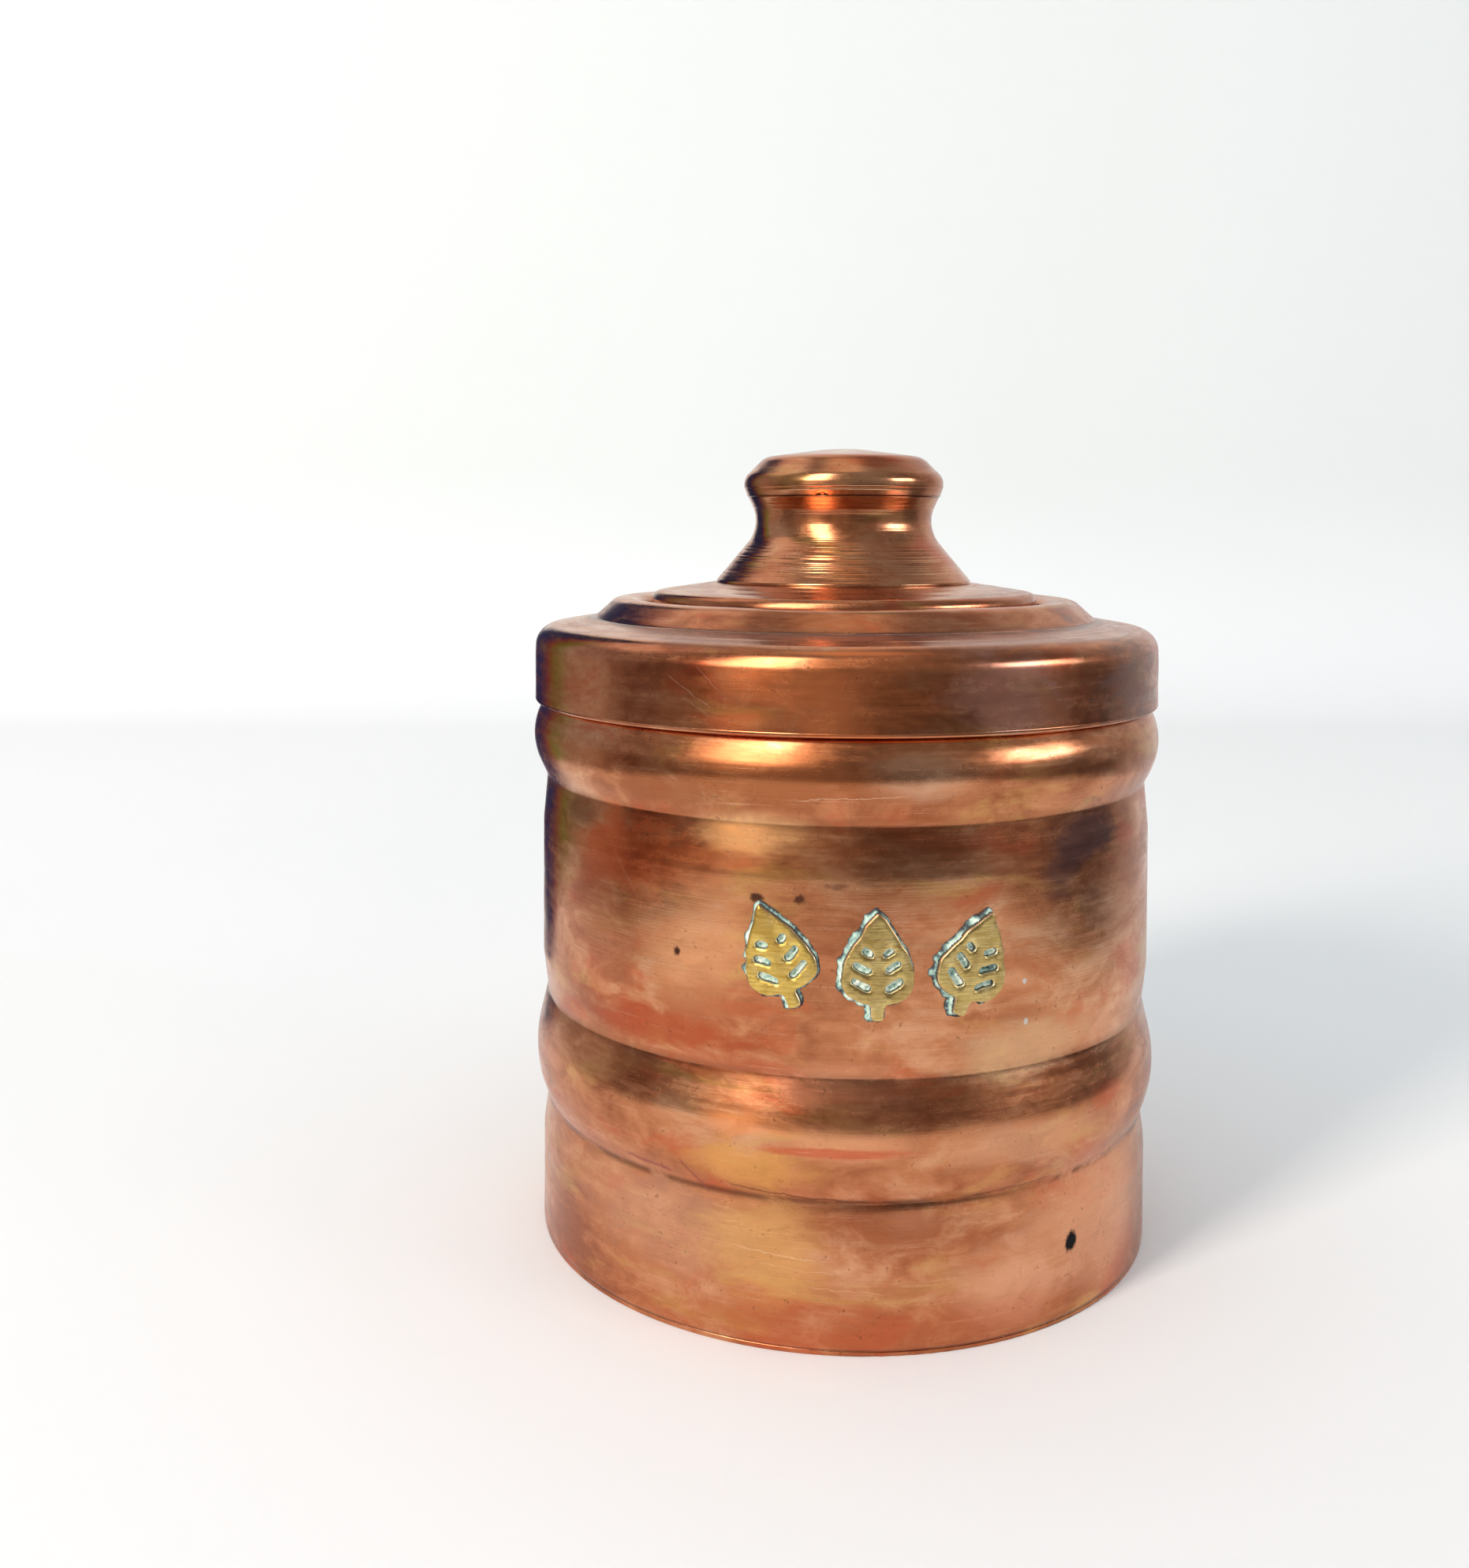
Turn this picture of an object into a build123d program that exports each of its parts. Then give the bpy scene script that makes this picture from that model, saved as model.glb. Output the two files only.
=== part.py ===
"""Spun-copper tea caddy with a slip-on lid, a hollow knob and three brass leaves on its wall.

Millimetres, +Z up. The origin is the centre of the base's underside, and the leaves face -Y.
Every round piece is a sheet spun about Z: a list of (radius, height, corner radius) gives its
outside, from its lower or outer end to its upper or inner end, and the sheet lies inside that line.
"""

from build123d import *
import os

# Sheet and fits
SHEET = 0.75            # copper of the wall, the lid and the dome
KNOB_SHEET = 0.6        # thinner copper of the knob
TOUCH_GAP = 0.02        # room left between curved pieces that meet
SHARP = 0               # corner radius of a bend or an end that is left sharp

# Base
PLATE_R = 38.7
PLATE_T = 0.6
PLATE_ROUND = 0.15

# Body: two beads, each with a groove on both sides, between a low wall and a neck
WALL_LOW_R = 38.75
WALL_R = 38.85          # wall between the beads, which carries the leaves
NECK_R = 38.3
MOUTH_Z = 75.2
WALL_OUTLINE = [
    (WALL_LOW_R, PLATE_T, SHARP),
    (WALL_LOW_R, 12.0, 8.0),
    (38.15, 16.4, 1.0),             # crease under the lower bead
    (40.22, 21.7, 12.0),            # lower bead
    (38.28, 29.9, 1.5),
    (WALL_R, 34.6, 8.0),
    (WALL_R, 51.5, 10.0),
    (38.35, 57.2, 1.5),
    (40.9, 62.5, 7.0),              # upper bead
    (NECK_R, 67.7, 1.2),
    (NECK_R, MOUTH_Z, SHARP),
]

# Lid: a band, a shoulder, a raised ring, and a sunk floor with a hole for the stud
STUD_HOLE_R = 2.15
LID_R = 40.0
LID_LIP_ROUND = 0.65
RECESS_Z = 77.2         # floor that the dome stands on
LID_OUTLINE = [
    (LID_R, 66.5, SHARP),
    (LID_R, 75.85, 1.9),
    (32.4, 77.0, 0.8),              # foot of the ring
    (29.5, 79.6, 2.0),
    (26.3, 79.3, 0.9),
    (26.1, RECESS_Z, 0.5),
    (STUD_HOLE_R, RECESS_Z, SHARP),
]

# Low dome inside the ring, with its edge turned down to the lid's floor
FOOT_Z = 81.5           # its flat top, where the knob stands
DOME_OUTLINE = [
    (24.9, RECESS_Z, SHARP),
    (24.9, 80.3, 1.1),
    (16.9, FOOT_Z, 3.0),
    (STUD_HOLE_R, FOOT_Z, SHARP),
]

# Knob: a hollow stem with a straight flare, a waist, and a spigot that the cap is crimped over
SEAM_Z = 92.6
SEAM_R = 12.4
FOOT_R = 16.5
SPIGOT_R = SEAM_R - KNOB_SHEET - TOUCH_GAP
NECK_OUTLINE = [
    (FOOT_R, FOOT_Z, SHARP),
    (FOOT_R, FOOT_Z + 0.3, SHARP),
    (10.7, 88.77, 4.5),             # where the flares would meet at the waist
    (SEAM_R, SEAM_Z - TOUCH_GAP, SHARP),
    (SPIGOT_R, SEAM_Z, SHARP),
    (SPIGOT_R, 94.2, SHARP),
]
CAP_R = 12.95
CAP_SHOULDER = (10.3, 97.75)
CAP_FLAT_R = 2.5
CAP_TOP_Z = 98.8
CAP_OUTLINE = [
    (SEAM_R + 0.1, SEAM_Z, SHARP),
    (CAP_R, SEAM_Z + 1.2, 1.5),
    (CAP_R, 95.1, 1.8),
    (*CAP_SHOULDER, 2.5),
    (CAP_FLAT_R, CAP_TOP_Z, 15.0),
    (0, CAP_TOP_Z, SHARP),
]

# Stud, washer and nut
STUD_R = 2.0
STUD_LOW_Z = 72.0
STUD_HEAD_R = 4.0
STUD_HEAD_T = 0.9
WASHER_R = 5.0
WASHER_T = 0.6
NUT_FLATS = 7.0
NUT_T = 3.0

# Leaves on the wall
LEAF_SIDE = [(0, -4.3), (6.8, -4.2), (3.2, 1.6), (0, 5.6)]   # controls of the right edge's curve
LEAF_STALK = 1.4
LEAF_STALK_LOW = -6.0
LEAF_STALK_HIGH = -3.6
VEINS = [(1.7, -2.2, 2.3), (1.6, -0.35, 2.0), (1.15, 1.3, 1.3)]  # right slots: middle x, y, length
VEIN_WIDTH = 0.75
VEIN_RISE = 32.0        # degrees
LEAF_T = 0.9
LEAF_BEVEL = 0.16
LEAF_CORNER = 0.25
SOLDER_T = 0.15
SOLDER_SCALE = 1.09     # its bed's size against the leaf's
CUT_DEPTH = 60.0        # longer than the body's radius
LEAVES = {              # angle round the wall from -Y, height of the middle, lean to the left
    "leaf_left": (-16.0, 43.4, 20.0),
    "leaf_middle": (-0.3, 42.6, 0.0),
    "leaf_right": (15.4, 42.5, -20.0),
}

os.makedirs("parts", exist_ok=True)


def spun(outline, sheet, start_round=0.0):
    """A sheet spun about Z under the outline; start_round eases the outer edge of its first end."""
    points = [(r, z) for r, z, _ in outline]
    corners = [corner for _, _, corner in outline[1:-1]]
    line = FilletPolyline(*points, radius=corners)
    section = make_face(offset(line, sheet, side=Side.LEFT, closed=True).edges())
    if start_round:
        first = section.vertices().sort_by_distance(Vector(*points[0]))[0]
        section = fillet(first, start_round)
    return revolve(Plane.XZ * section, Axis.Z)


def disc(radius, low, thickness, hole=0.0):
    """A round plate standing at height low, with an optional hole in its middle."""
    plate = Pos(0, 0, low) * Cylinder(radius, thickness, align=(Align.CENTER, Align.CENTER, Align.MIN))
    if hole:
        plate -= Pos(0, 0, low) * Cylinder(hole, thickness, align=(Align.CENTER, Align.CENTER, Align.MIN))
    return plate


def base_plate():
    """The bottom disc, which the wall stands on."""
    plate = disc(PLATE_R, 0, PLATE_T)
    return fillet(plate.edges().filter_by(GeomType.CIRCLE), PLATE_ROUND)


def body_wall():
    """The wall, from the bottom disc up over two beads to the neck that the lid slips over."""
    return spun(WALL_OUTLINE, SHEET)


def lid_shell():
    """The lid's band, shoulder, ring and floor."""
    return spun(LID_OUTLINE, SHEET, LID_LIP_ROUND)


def dome_plate():
    """The low dome that the knob stands on."""
    return spun(DOME_OUTLINE, SHEET)


def knob_neck():
    """The knob's hollow stem."""
    return spun(NECK_OUTLINE, KNOB_SHEET)


def knob_cap():
    """The knob's domed top, whose short skirt closes round the stem."""
    return spun(CAP_OUTLINE, KNOB_SHEET)


def knob_stud():
    """A stud whose head is soldered under the cap, and which runs down through the dome and the lid."""
    slope = (CAP_TOP_Z - CAP_SHOULDER[1]) / (CAP_SHOULDER[0] - CAP_FLAT_R)
    head_z = CAP_TOP_Z - KNOB_SHEET - (STUD_HEAD_R - CAP_FLAT_R) * slope - 2 * TOUCH_GAP
    head = disc(STUD_HEAD_R, head_z - STUD_HEAD_T, STUD_HEAD_T)
    return head + disc(STUD_R, STUD_LOW_Z, head_z - STUD_HEAD_T - STUD_LOW_Z)


def stud_washer():
    """The washer between the lid's floor and the nut."""
    return disc(WASHER_R, RECESS_Z - SHEET - WASHER_T, WASHER_T, STUD_HOLE_R)


def stud_nut():
    """The hexagon nut that clamps the knob, the dome and the lid together."""
    low = RECESS_Z - SHEET - WASHER_T - NUT_T
    flat = RegularPolygon(NUT_FLATS / 2, 6, major_radius=False) - Circle(STUD_R + TOUCH_GAP)
    return extrude(Plane.XY.offset(low) * flat, NUT_T)


def leaf_outline():
    """A leaf with its stalk, and with all its corners rounded."""
    right = Bezier(*LEAF_SIDE)
    blade = make_face([right, mirror(right, Plane.YZ)])
    stalk_size = (LEAF_STALK, LEAF_STALK_HIGH - LEAF_STALK_LOW)
    stalk = Pos(0, LEAF_STALK_LOW) * Rectangle(*stalk_size, align=(Align.CENTER, Align.MIN))
    plan = blade + stalk
    return fillet(plan.vertices(), LEAF_CORNER)


def leaf_plan():
    """The leaf with slots for its veins, which slant up from both sides of the midrib."""
    plan = leaf_outline()
    for x, y, length in VEINS:
        for side in (1, -1):
            plan -= Pos(side * x, y) * Rot(0, 0, side * VEIN_RISE) * SlotOverall(length, VEIN_WIDTH)
    return plan


def on_wall(plan, low_r, high_r, place):
    """The plan as a plate bent round the wall at its place, between two radii."""
    angle, middle_z, tilt = place
    ring = Cylinder(high_r, 2 * MOUTH_Z) - Cylinder(low_r, 2 * MOUTH_Z)
    blank = extrude(Plane.XZ * (Pos(0, middle_z) * Rot(0, 0, tilt) * plan), CUT_DEPTH)
    return Rot(0, 0, angle) * (blank & ring)


def leaf(place):
    """One brass leaf with a bevel round its face."""
    low_r = WALL_R + SOLDER_T
    solid = on_wall(leaf_plan(), low_r, low_r + LEAF_T, place)
    face = solid.faces().filter_by(GeomType.CYLINDER).sort_by(SortBy.AREA)[-1]
    return chamfer(face.edges(), LEAF_BEVEL)


def leaf_solder():
    """The thin beds of solder that hold the leaves, squeezed out a little round each."""
    spread = scale(leaf_outline(), SOLDER_SCALE)
    beds = Part()
    for place in LEAVES.values():
        beds += on_wall(spread, WALL_R, WALL_R + SOLDER_T, place)
    return beds


def write(name, shape):
    """One STEP file for each node."""
    export_step(shape, f"parts/{name}.step")


for maker in (
    base_plate,
    body_wall,
    leaf_solder,
    lid_shell,
    dome_plate,
    knob_neck,
    knob_cap,
    knob_stud,
    stud_washer,
    stud_nut,
):
    write(maker.__name__, maker())
for name, place in LEAVES.items():
    write(name, leaf(place))
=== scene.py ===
"""Looks of a small spun-copper tea caddy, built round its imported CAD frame.

Round pieces are spun from outlines of (radius, height, corner radius), from the lower or outer end
to the upper or inner end. They follow the CAD, with a rounder top edge on the lid and softened
corners on the knob's stem. Pieces are worked out in millimetres; stage, lamps and camera in metres.
"""
import math

import bmesh
import bpy
import numpy as np
from mathutils import Matrix, Vector
from mathutils.geometry import delaunay_2d_cdt
from mathutils.noise import noise as lumps


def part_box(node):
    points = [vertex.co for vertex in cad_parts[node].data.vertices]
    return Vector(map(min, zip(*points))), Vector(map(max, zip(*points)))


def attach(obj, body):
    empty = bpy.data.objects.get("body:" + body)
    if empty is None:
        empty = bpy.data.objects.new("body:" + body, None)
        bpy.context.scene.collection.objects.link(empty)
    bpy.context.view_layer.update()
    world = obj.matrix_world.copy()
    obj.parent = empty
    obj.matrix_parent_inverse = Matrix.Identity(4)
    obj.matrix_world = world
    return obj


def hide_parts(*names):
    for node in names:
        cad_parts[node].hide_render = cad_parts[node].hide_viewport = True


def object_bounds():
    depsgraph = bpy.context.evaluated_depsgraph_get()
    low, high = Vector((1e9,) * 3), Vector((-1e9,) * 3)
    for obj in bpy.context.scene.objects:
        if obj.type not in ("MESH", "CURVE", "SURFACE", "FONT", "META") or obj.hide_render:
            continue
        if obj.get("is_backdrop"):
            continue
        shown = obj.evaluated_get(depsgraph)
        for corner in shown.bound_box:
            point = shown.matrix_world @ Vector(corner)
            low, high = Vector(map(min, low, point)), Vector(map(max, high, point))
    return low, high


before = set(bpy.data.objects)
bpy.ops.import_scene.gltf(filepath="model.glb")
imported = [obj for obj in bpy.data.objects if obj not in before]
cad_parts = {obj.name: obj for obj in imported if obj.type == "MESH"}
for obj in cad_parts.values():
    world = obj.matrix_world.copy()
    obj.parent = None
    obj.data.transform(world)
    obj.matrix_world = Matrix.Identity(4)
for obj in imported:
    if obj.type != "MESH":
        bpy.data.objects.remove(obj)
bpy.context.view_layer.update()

MM = 0.001

# --- Sizes, in millimetres, from the CAD ---
SHEET = 0.75
KNOB_SHEET = 0.6


def height_of(node, end):
    """The lowest (0) or highest (1) height of a CAD node, in millimetres."""
    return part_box(node)[end].z / MM


def radius_of(node):
    """The largest radius of a round CAD node, in millimetres."""
    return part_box(node)[1].x / MM


PLATE_T = height_of("base_plate", 1)
MOUTH_Z = height_of("body_wall", 1)
LID_R = radius_of("lid_shell")
LID_LOW_Z = height_of("lid_shell", 0)
FOOT_Z = height_of("dome_plate", 1)
FOOT_R = radius_of("knob_neck")
CAP_R = radius_of("knob_cap")
CAP_LOW_Z = height_of("knob_cap", 0)
CAP_TOP_Z = height_of("knob_cap", 1)
RECESS_Z = height_of("dome_plate", 0)
WALL_R = 38.85
HOLE_R = 2.15
STUD_R = 2.0
STUD_TIP = 0.5          # chamfer of its lower end
STUD_HEAD_R = 4.0
STUD_HEAD_T = 0.9
STUD_HEAD_EDGE = 0.3
THREAD_PITCH = 0.7
WASHER_R = 5.0
WASHER_EDGE = 0.12
NUT_FLATS = 7.0
NUT_PLAY = 0.02         # room between the nut and the stud

LEAF_SIDE = [(0, -4.3), (6.8, -4.2), (3.2, 1.6), (0, 5.6)]  # controls of its right edge's curve
LEAF_STALK = 1.4
LEAF_STALK_LOW = -6.0
# Slots right of the midrib: middle x, middle y, length
VEINS = [(1.7, -2.2, 2.3), (1.6, -0.35, 2.0), (1.15, 1.3, 1.3)]
VEIN_WIDTH = 0.75
VEIN_RISE = 32.0        # degrees
LEAF_T = 0.9
LEAF_BEVEL = 0.16
LEAF_EDGE = [(0.0, LEAF_BEVEL), (0.03, 0.085), (0.065, 0.03), (0.105, 0.0)]  # worn bevel: in, down
LEAF_BACK = 0.05        # height of its back over the wall
SOLDER_T = 0.15
LEAVES = {              # degrees from -Y, height of the middle, lean to the left in degrees
    "leaf_left": (-16.0, 43.4, 20.0),
    "leaf_middle": (-0.3, 42.6, 0.0),
    "leaf_right": (15.4, 42.5, -20.0),
}
LEAF_SEEDS = (0.4, 2.1, 3.9)    # one for each leaf, so that no two are cut quite alike

WALL = [
    (38.75, PLATE_T, 0),
    (38.75, 12.0, 8),
    (38.15, 16.4, 1.0),
    (40.22, 21.7, 12),
    (38.28, 29.9, 1.5),
    (WALL_R, 34.6, 8),
    (WALL_R, 51.5, 10),
    (38.35, 57.2, 1.5),
    (40.9, 62.5, 7),
    (38.3, 67.7, 1.2),
    (38.3, MOUTH_Z, 0),
]
LID = [
    (LID_R, LID_LOW_Z, 0),
    (LID_R, 75.85, 2.4),
    (32.4, 77.0, 0.8),
    (29.5, 79.6, 2.0),
    (26.3, 79.3, 0.9),
    (26.1, RECESS_Z, 0.5),
    (HOLE_R, RECESS_Z, 0),
]
DOME = [
    (24.9, RECESS_Z, 0),
    (24.9, 80.3, 1.1),
    (16.9, FOOT_Z, 3),
    (HOLE_R, FOOT_Z, 0),
]
NECK = [
    (FOOT_R, FOOT_Z, 0),
    (FOOT_R, FOOT_Z + 0.3, 0.1),
    (10.7, 88.77, 4.5),
    (12.4, CAP_LOW_Z - 0.02, 0.05),
    (11.78, CAP_LOW_Z, 0.05),
    (11.78, 94.2, 0),
]
CAP = [
    (12.5, CAP_LOW_Z, 0),
    (CAP_R, CAP_LOW_Z + 1.2, 1.5),
    (CAP_R, 95.1, 1.8),
    (10.3, 97.75, 2.5),
    (2.5, CAP_TOP_Z, 15),
    (0, CAP_TOP_Z, 0),
]


# --- Mesh making ---
def unit(v):
    """v at length 1."""
    return v / np.linalg.norm(v)


def inset(outline, sheet):
    """The outline of the sheet's other face, a sheet's thickness to the left of the way it runs."""
    points = [np.array(p[:2], float) for p in outline]
    ways = [unit(b - a) for a, b in zip(points, points[1:])]
    lefts = [np.array((-w[1], w[0])) for w in ways]
    found = []
    for i, (r, z, corner) in enumerate(outline):
        before, after = lefts[max(i - 1, 0)], lefts[min(i, len(lefts) - 1)]
        shift = unit(before + after) * sheet / math.sqrt((1 + before @ after) / 2)
        turn = before[0] * after[1] - before[1] * after[0]
        inner_corner = corner - math.copysign(sheet, turn)
        place = points[i] + shift
        found.append((max(place[0], 0.0), place[1], max(inner_corner, 0.05) if corner else 0))
    return found


def rounded(outline, step):
    """Points along the outline, about a step apart, with its corners rounded."""
    corners = [np.array(p[:2], float) for p in outline]
    line = [corners[0]]

    def run_to(end):
        start = line[-1]
        count = max(1, math.ceil(np.linalg.norm(end - start) / step))
        line.extend(start + (end - start) * k / count for k in range(1, count + 1))

    for i, (_, _, radius) in enumerate(outline[1:-1], 1):
        corner = corners[i]
        back, on = unit(corners[i - 1] - corner), unit(corners[i + 1] - corner)
        half = math.acos(np.clip(back @ on, -1, 1)) / 2
        if radius == 0 or half > math.pi / 2 - 0.001:
            run_to(corner)
            continue
        start = corner + back * radius / math.tan(half)
        end = corner + on * radius / math.tan(half)
        centre = corner + unit(back + on) * radius / math.sin(half)
        run_to(start)
        sweep = math.pi - 2 * half
        count = max(4, math.ceil(radius * sweep / step))
        a, b = start - centre, end - centre
        for k in range(1, count + 1):
            t = k / count
            spoke = a * math.sin((1 - t) * sweep) + b * math.sin(t * sweep)
            line.append(centre + spoke / math.sin(sweep))
    run_to(corners[-1])
    return np.array(line)


def sheet_section(outline, sheet, step, inner_step, roll_start=True, roll_end=True):
    """A closed section of a bent sheet, with half-round ends where asked."""
    outer = rounded(outline, step)
    inner = rounded(inset(outline, sheet), inner_step)[::-1]

    def cap(a, b, way):
        middle, half = (a + b) / 2, (a - b) / 2
        bulge = unit(way) * sheet / 2
        angles = np.linspace(0, math.pi, 9)[1:-1]
        return np.array([middle + half * math.cos(t) + bulge * math.sin(t) for t in angles])

    parts = [outer]
    if roll_end:
        way = unit(outer[-1] - outer[-2])
        outer[-1] = outer[-1] - way * sheet / 2
        inner[0] = inner[0] - way * sheet / 2
        parts.append(cap(outer[-1], inner[0], way))
    parts.append(inner)
    if roll_start:
        way = unit(outer[0] - outer[1])
        outer[0] = outer[0] - way * sheet / 2
        inner[-1] = inner[-1] - way * sheet / 2
        parts.append(cap(inner[-1], outer[0], way))
    return np.concatenate(parts)


def mesh_object(name, verts, faces, smooth=True, sharp=None):
    """A mesh object from points in millimetres. Bends of more than sharp degrees stay crisp."""
    mesh = bpy.data.meshes.new(name)
    mesh.from_pydata([tuple(v) for v in np.asarray(verts) * MM], [], faces)
    mesh.validate()
    mesh.update()
    if smooth:
        mesh.polygons.foreach_set("use_smooth", [True] * len(mesh.polygons))
    if sharp:
        mesh.set_sharp_from_angle(angle=math.radians(sharp))
    made = bpy.data.objects.new(name, mesh)
    bpy.context.scene.collection.objects.link(made)
    return made


def spun(name, section, turns, shape=None, sharp=None):
    """The section spun about Z. shape(r, z, angle) gives what hand work adds to r and to z."""
    angles = np.arange(turns) * 2 * math.pi / turns
    r, a = np.meshgrid(section[:, 0], angles)
    z, _ = np.meshgrid(section[:, 1], angles)
    if shape:
        add_r, add_z = shape(r, z, a)
        on_axis = r < 1e-6
        r = np.where(on_axis, r, r + add_r)
        z = z + np.where(on_axis, 0, add_z)
    verts = np.stack([r * np.sin(a), -r * np.cos(a), z], axis=-1).reshape(-1, 3)
    n = len(section)
    pairs = [(j, (j + 1) % n) for j in range(n)]
    faces = []
    for i in range(turns):
        row, following = i * n, (i + 1) % turns * n
        faces.extend((row + j, following + j, following + k, row + k) for j, k in pairs)
    made = mesh_object(name, verts, faces)
    merge(made, 0.001 * MM)
    if sharp:
        made.data.set_sharp_from_angle(angle=math.radians(sharp))
    return made


def merge(obj, distance):
    """Joins the points of a mesh that lie together, and drops what that leaves flat."""
    work = bmesh.new()
    work.from_mesh(obj.data)
    bmesh.ops.remove_doubles(work, verts=work.verts, dist=distance)
    loose = [e for e in work.edges if not e.link_faces]
    bmesh.ops.delete(work, geom=loose, context="EDGES")
    bmesh.ops.recalc_face_normals(work, faces=work.faces)
    work.to_mesh(obj.data)
    work.free()


# --- Shapes left by handwork ---
def bump(x, width):
    """A smooth hump of height 1 at x = 0."""
    return np.exp(-((x / width) ** 2))


def away(angle, centre_deg):
    """Degrees from a direction, between -180 and 180. Directions count from -Y to +X."""
    return (np.degrees(angle) - centre_deg + 180) % 360 - 180


# Dents in the wall: direction, height, half width (degrees), half height, depth
DENTS = [
    (33, 61.0, 5, 2.2, 0.10),
    (41, 63.6, 4, 1.2, 0.12),
    (-44, 61.5, 7, 1.6, 0.06),
    (52, 45.0, 9, 5.0, 0.08),
    (-30, 23.0, 10, 2.0, 0.07),
    (18, 24.0, 8, 1.8, 0.05),
    (-62, 44.0, 7, 9.0, 0.10),
    (140, 40.0, 9, 7.0, 0.12),
    (-120, 22.0, 8, 2.5, 0.10),
    (96, 9.0, 12, 3.0, 0.08),
]


def wall_shape(r, z, a):
    """Slight waves and dents of the body's wall."""
    add = 0.030 * np.sin(2 * a + 0.5) + 0.022 * np.sin(3 * a + 1.7 + 0.05 * z)
    add += 0.012 * np.sin(5 * a - 0.09 * z) + 0.008 * np.sin(9 * a + 0.21 * z)
    add += 0.006 * np.sin(0.9 * z + 2 * np.sin(3 * a)) * bump(z - 43, 14)
    for direction, height, wide, tall, depth in DENTS:
        add -= depth * bump(away(a, direction), wide) * bump(z - height, tall)
    crease = 0.10 * bump(z - 16.4 - 0.25 * np.sin(7 * a), 0.5) * (0.5 + 0.5 * np.sin(5 * a + 0.8))
    settle = np.clip((z - PLATE_T) / 3, 0, 1) * np.clip((MOUTH_Z - z) / 3, 0, 1)
    slack = 0.09 * np.clip(r - 39.2, 0, 1)
    return (add - crease) * settle - slack, 0.05 * np.sin(2 * a + 2.2) * bump(z - 29.9, 4) * settle


def lid_shape(r, z, a):
    """The lid's band and shoulder, a little uneven."""
    edge = np.clip((r - 30) / 8, 0, 1)
    add = 0.022 * np.sin(2 * a + 1.1) + 0.014 * np.sin(5 * a + 0.4) + 0.006 * np.sin(11 * a)
    add *= edge
    add -= 0.03 * edge * bump(z - 69.0, 1.2)
    add -= 0.24 * edge * np.clip((z - 71.8) / 4, 0, 1) ** 2 * (r > 36)
    return add - 0.05 * edge, 0.03 * np.sin(3 * a + 0.3) * (r > 10)


def dome_shape(r, z, a):
    """Shallow turned rings on the dome."""
    rings = 0.02 * np.sin(2 * math.pi * (r - 17) / 2.6)
    rings *= np.clip((r - 16) / 2, 0, 1) * np.clip(24 - r, 0, 1)
    return 0 * r, np.where(z > FOOT_Z - 2.5, rings - 0.02, 0)


def neck_shape(r, z, a):
    """Tool rings turned into the stem's flare, and fainter ones up to its neck."""
    deep = 0.035 * bump(z - 84.6, 2.3) + 0.012 * bump(z - 90.5, 2.0)
    pitch = 0.62 + 0.03 * np.sin(2.1 * z)
    cut = np.clip(np.sin(2 * math.pi * z / pitch), -1, 0.4) - 0.4
    return deep * cut + 0.01 * np.sin(2 * a) * bump(z - 88, 5), 0 * z


def cap_shape(r, z, a):
    """The cap, with the nick in its lower edge."""
    nick = 0.25 * bump(away(a, -18), 2.2) * bump(z - CAP_LOW_Z - 0.1, 0.35)
    bead = 0.05 * bump(z - CAP_LOW_Z - 1.0, 0.12)
    return -(nick + bead) * (r > 12), 0 * z


def thread_shape(r, z, a):
    """A stud's thread, cut below the lid only."""
    wave = np.abs((z / THREAD_PITCH - a / (2 * math.pi)) % 1 - 0.5) * 2
    cut = 0.42 * np.clip(1.15 * wave, 0, 1) * np.clip((75.9 - z) / 0.3, 0, 1)
    return -cut * (abs(r - STUD_R) < 0.05), 0 * z


def nut_shape(r, z, a):
    """A hexagon from a round blank, with both ends chamfered."""
    flat = NUT_FLATS / 2 / np.cos((a + math.pi / 6) % (math.pi / 3) - math.pi / 6)
    low, high = height_of("stud_nut", 0), height_of("stud_nut", 1)
    end = np.minimum(z - low, high - z)
    side = np.minimum(flat, NUT_FLATS / 2 + 0.02 + end * math.tan(math.radians(60)))
    return np.where(r > 3, side - r, 0), 0 * z


# --- Leaves ---
def eased(loop, step, width):
    """A closed line resampled about a step apart, with its corners worn round over a width."""
    closed = np.vstack([loop, loop[:1]])
    along = np.concatenate([[0], np.cumsum(np.linalg.norm(np.diff(closed, axis=0), axis=1))])
    count = int(along[-1] / step)
    at = np.arange(count) * along[-1] / count
    even = np.stack([np.interp(at, along, closed[:, k]) for k in (0, 1)], axis=-1)
    offsets = np.arange(-int(3 * width / step), int(3 * width / step) + 1)
    weights = np.exp(-((offsets * step / width) ** 2) / 2)
    return sum(w * np.roll(even, k, axis=0) for k, w in zip(offsets, weights)) / weights.sum()


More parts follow.
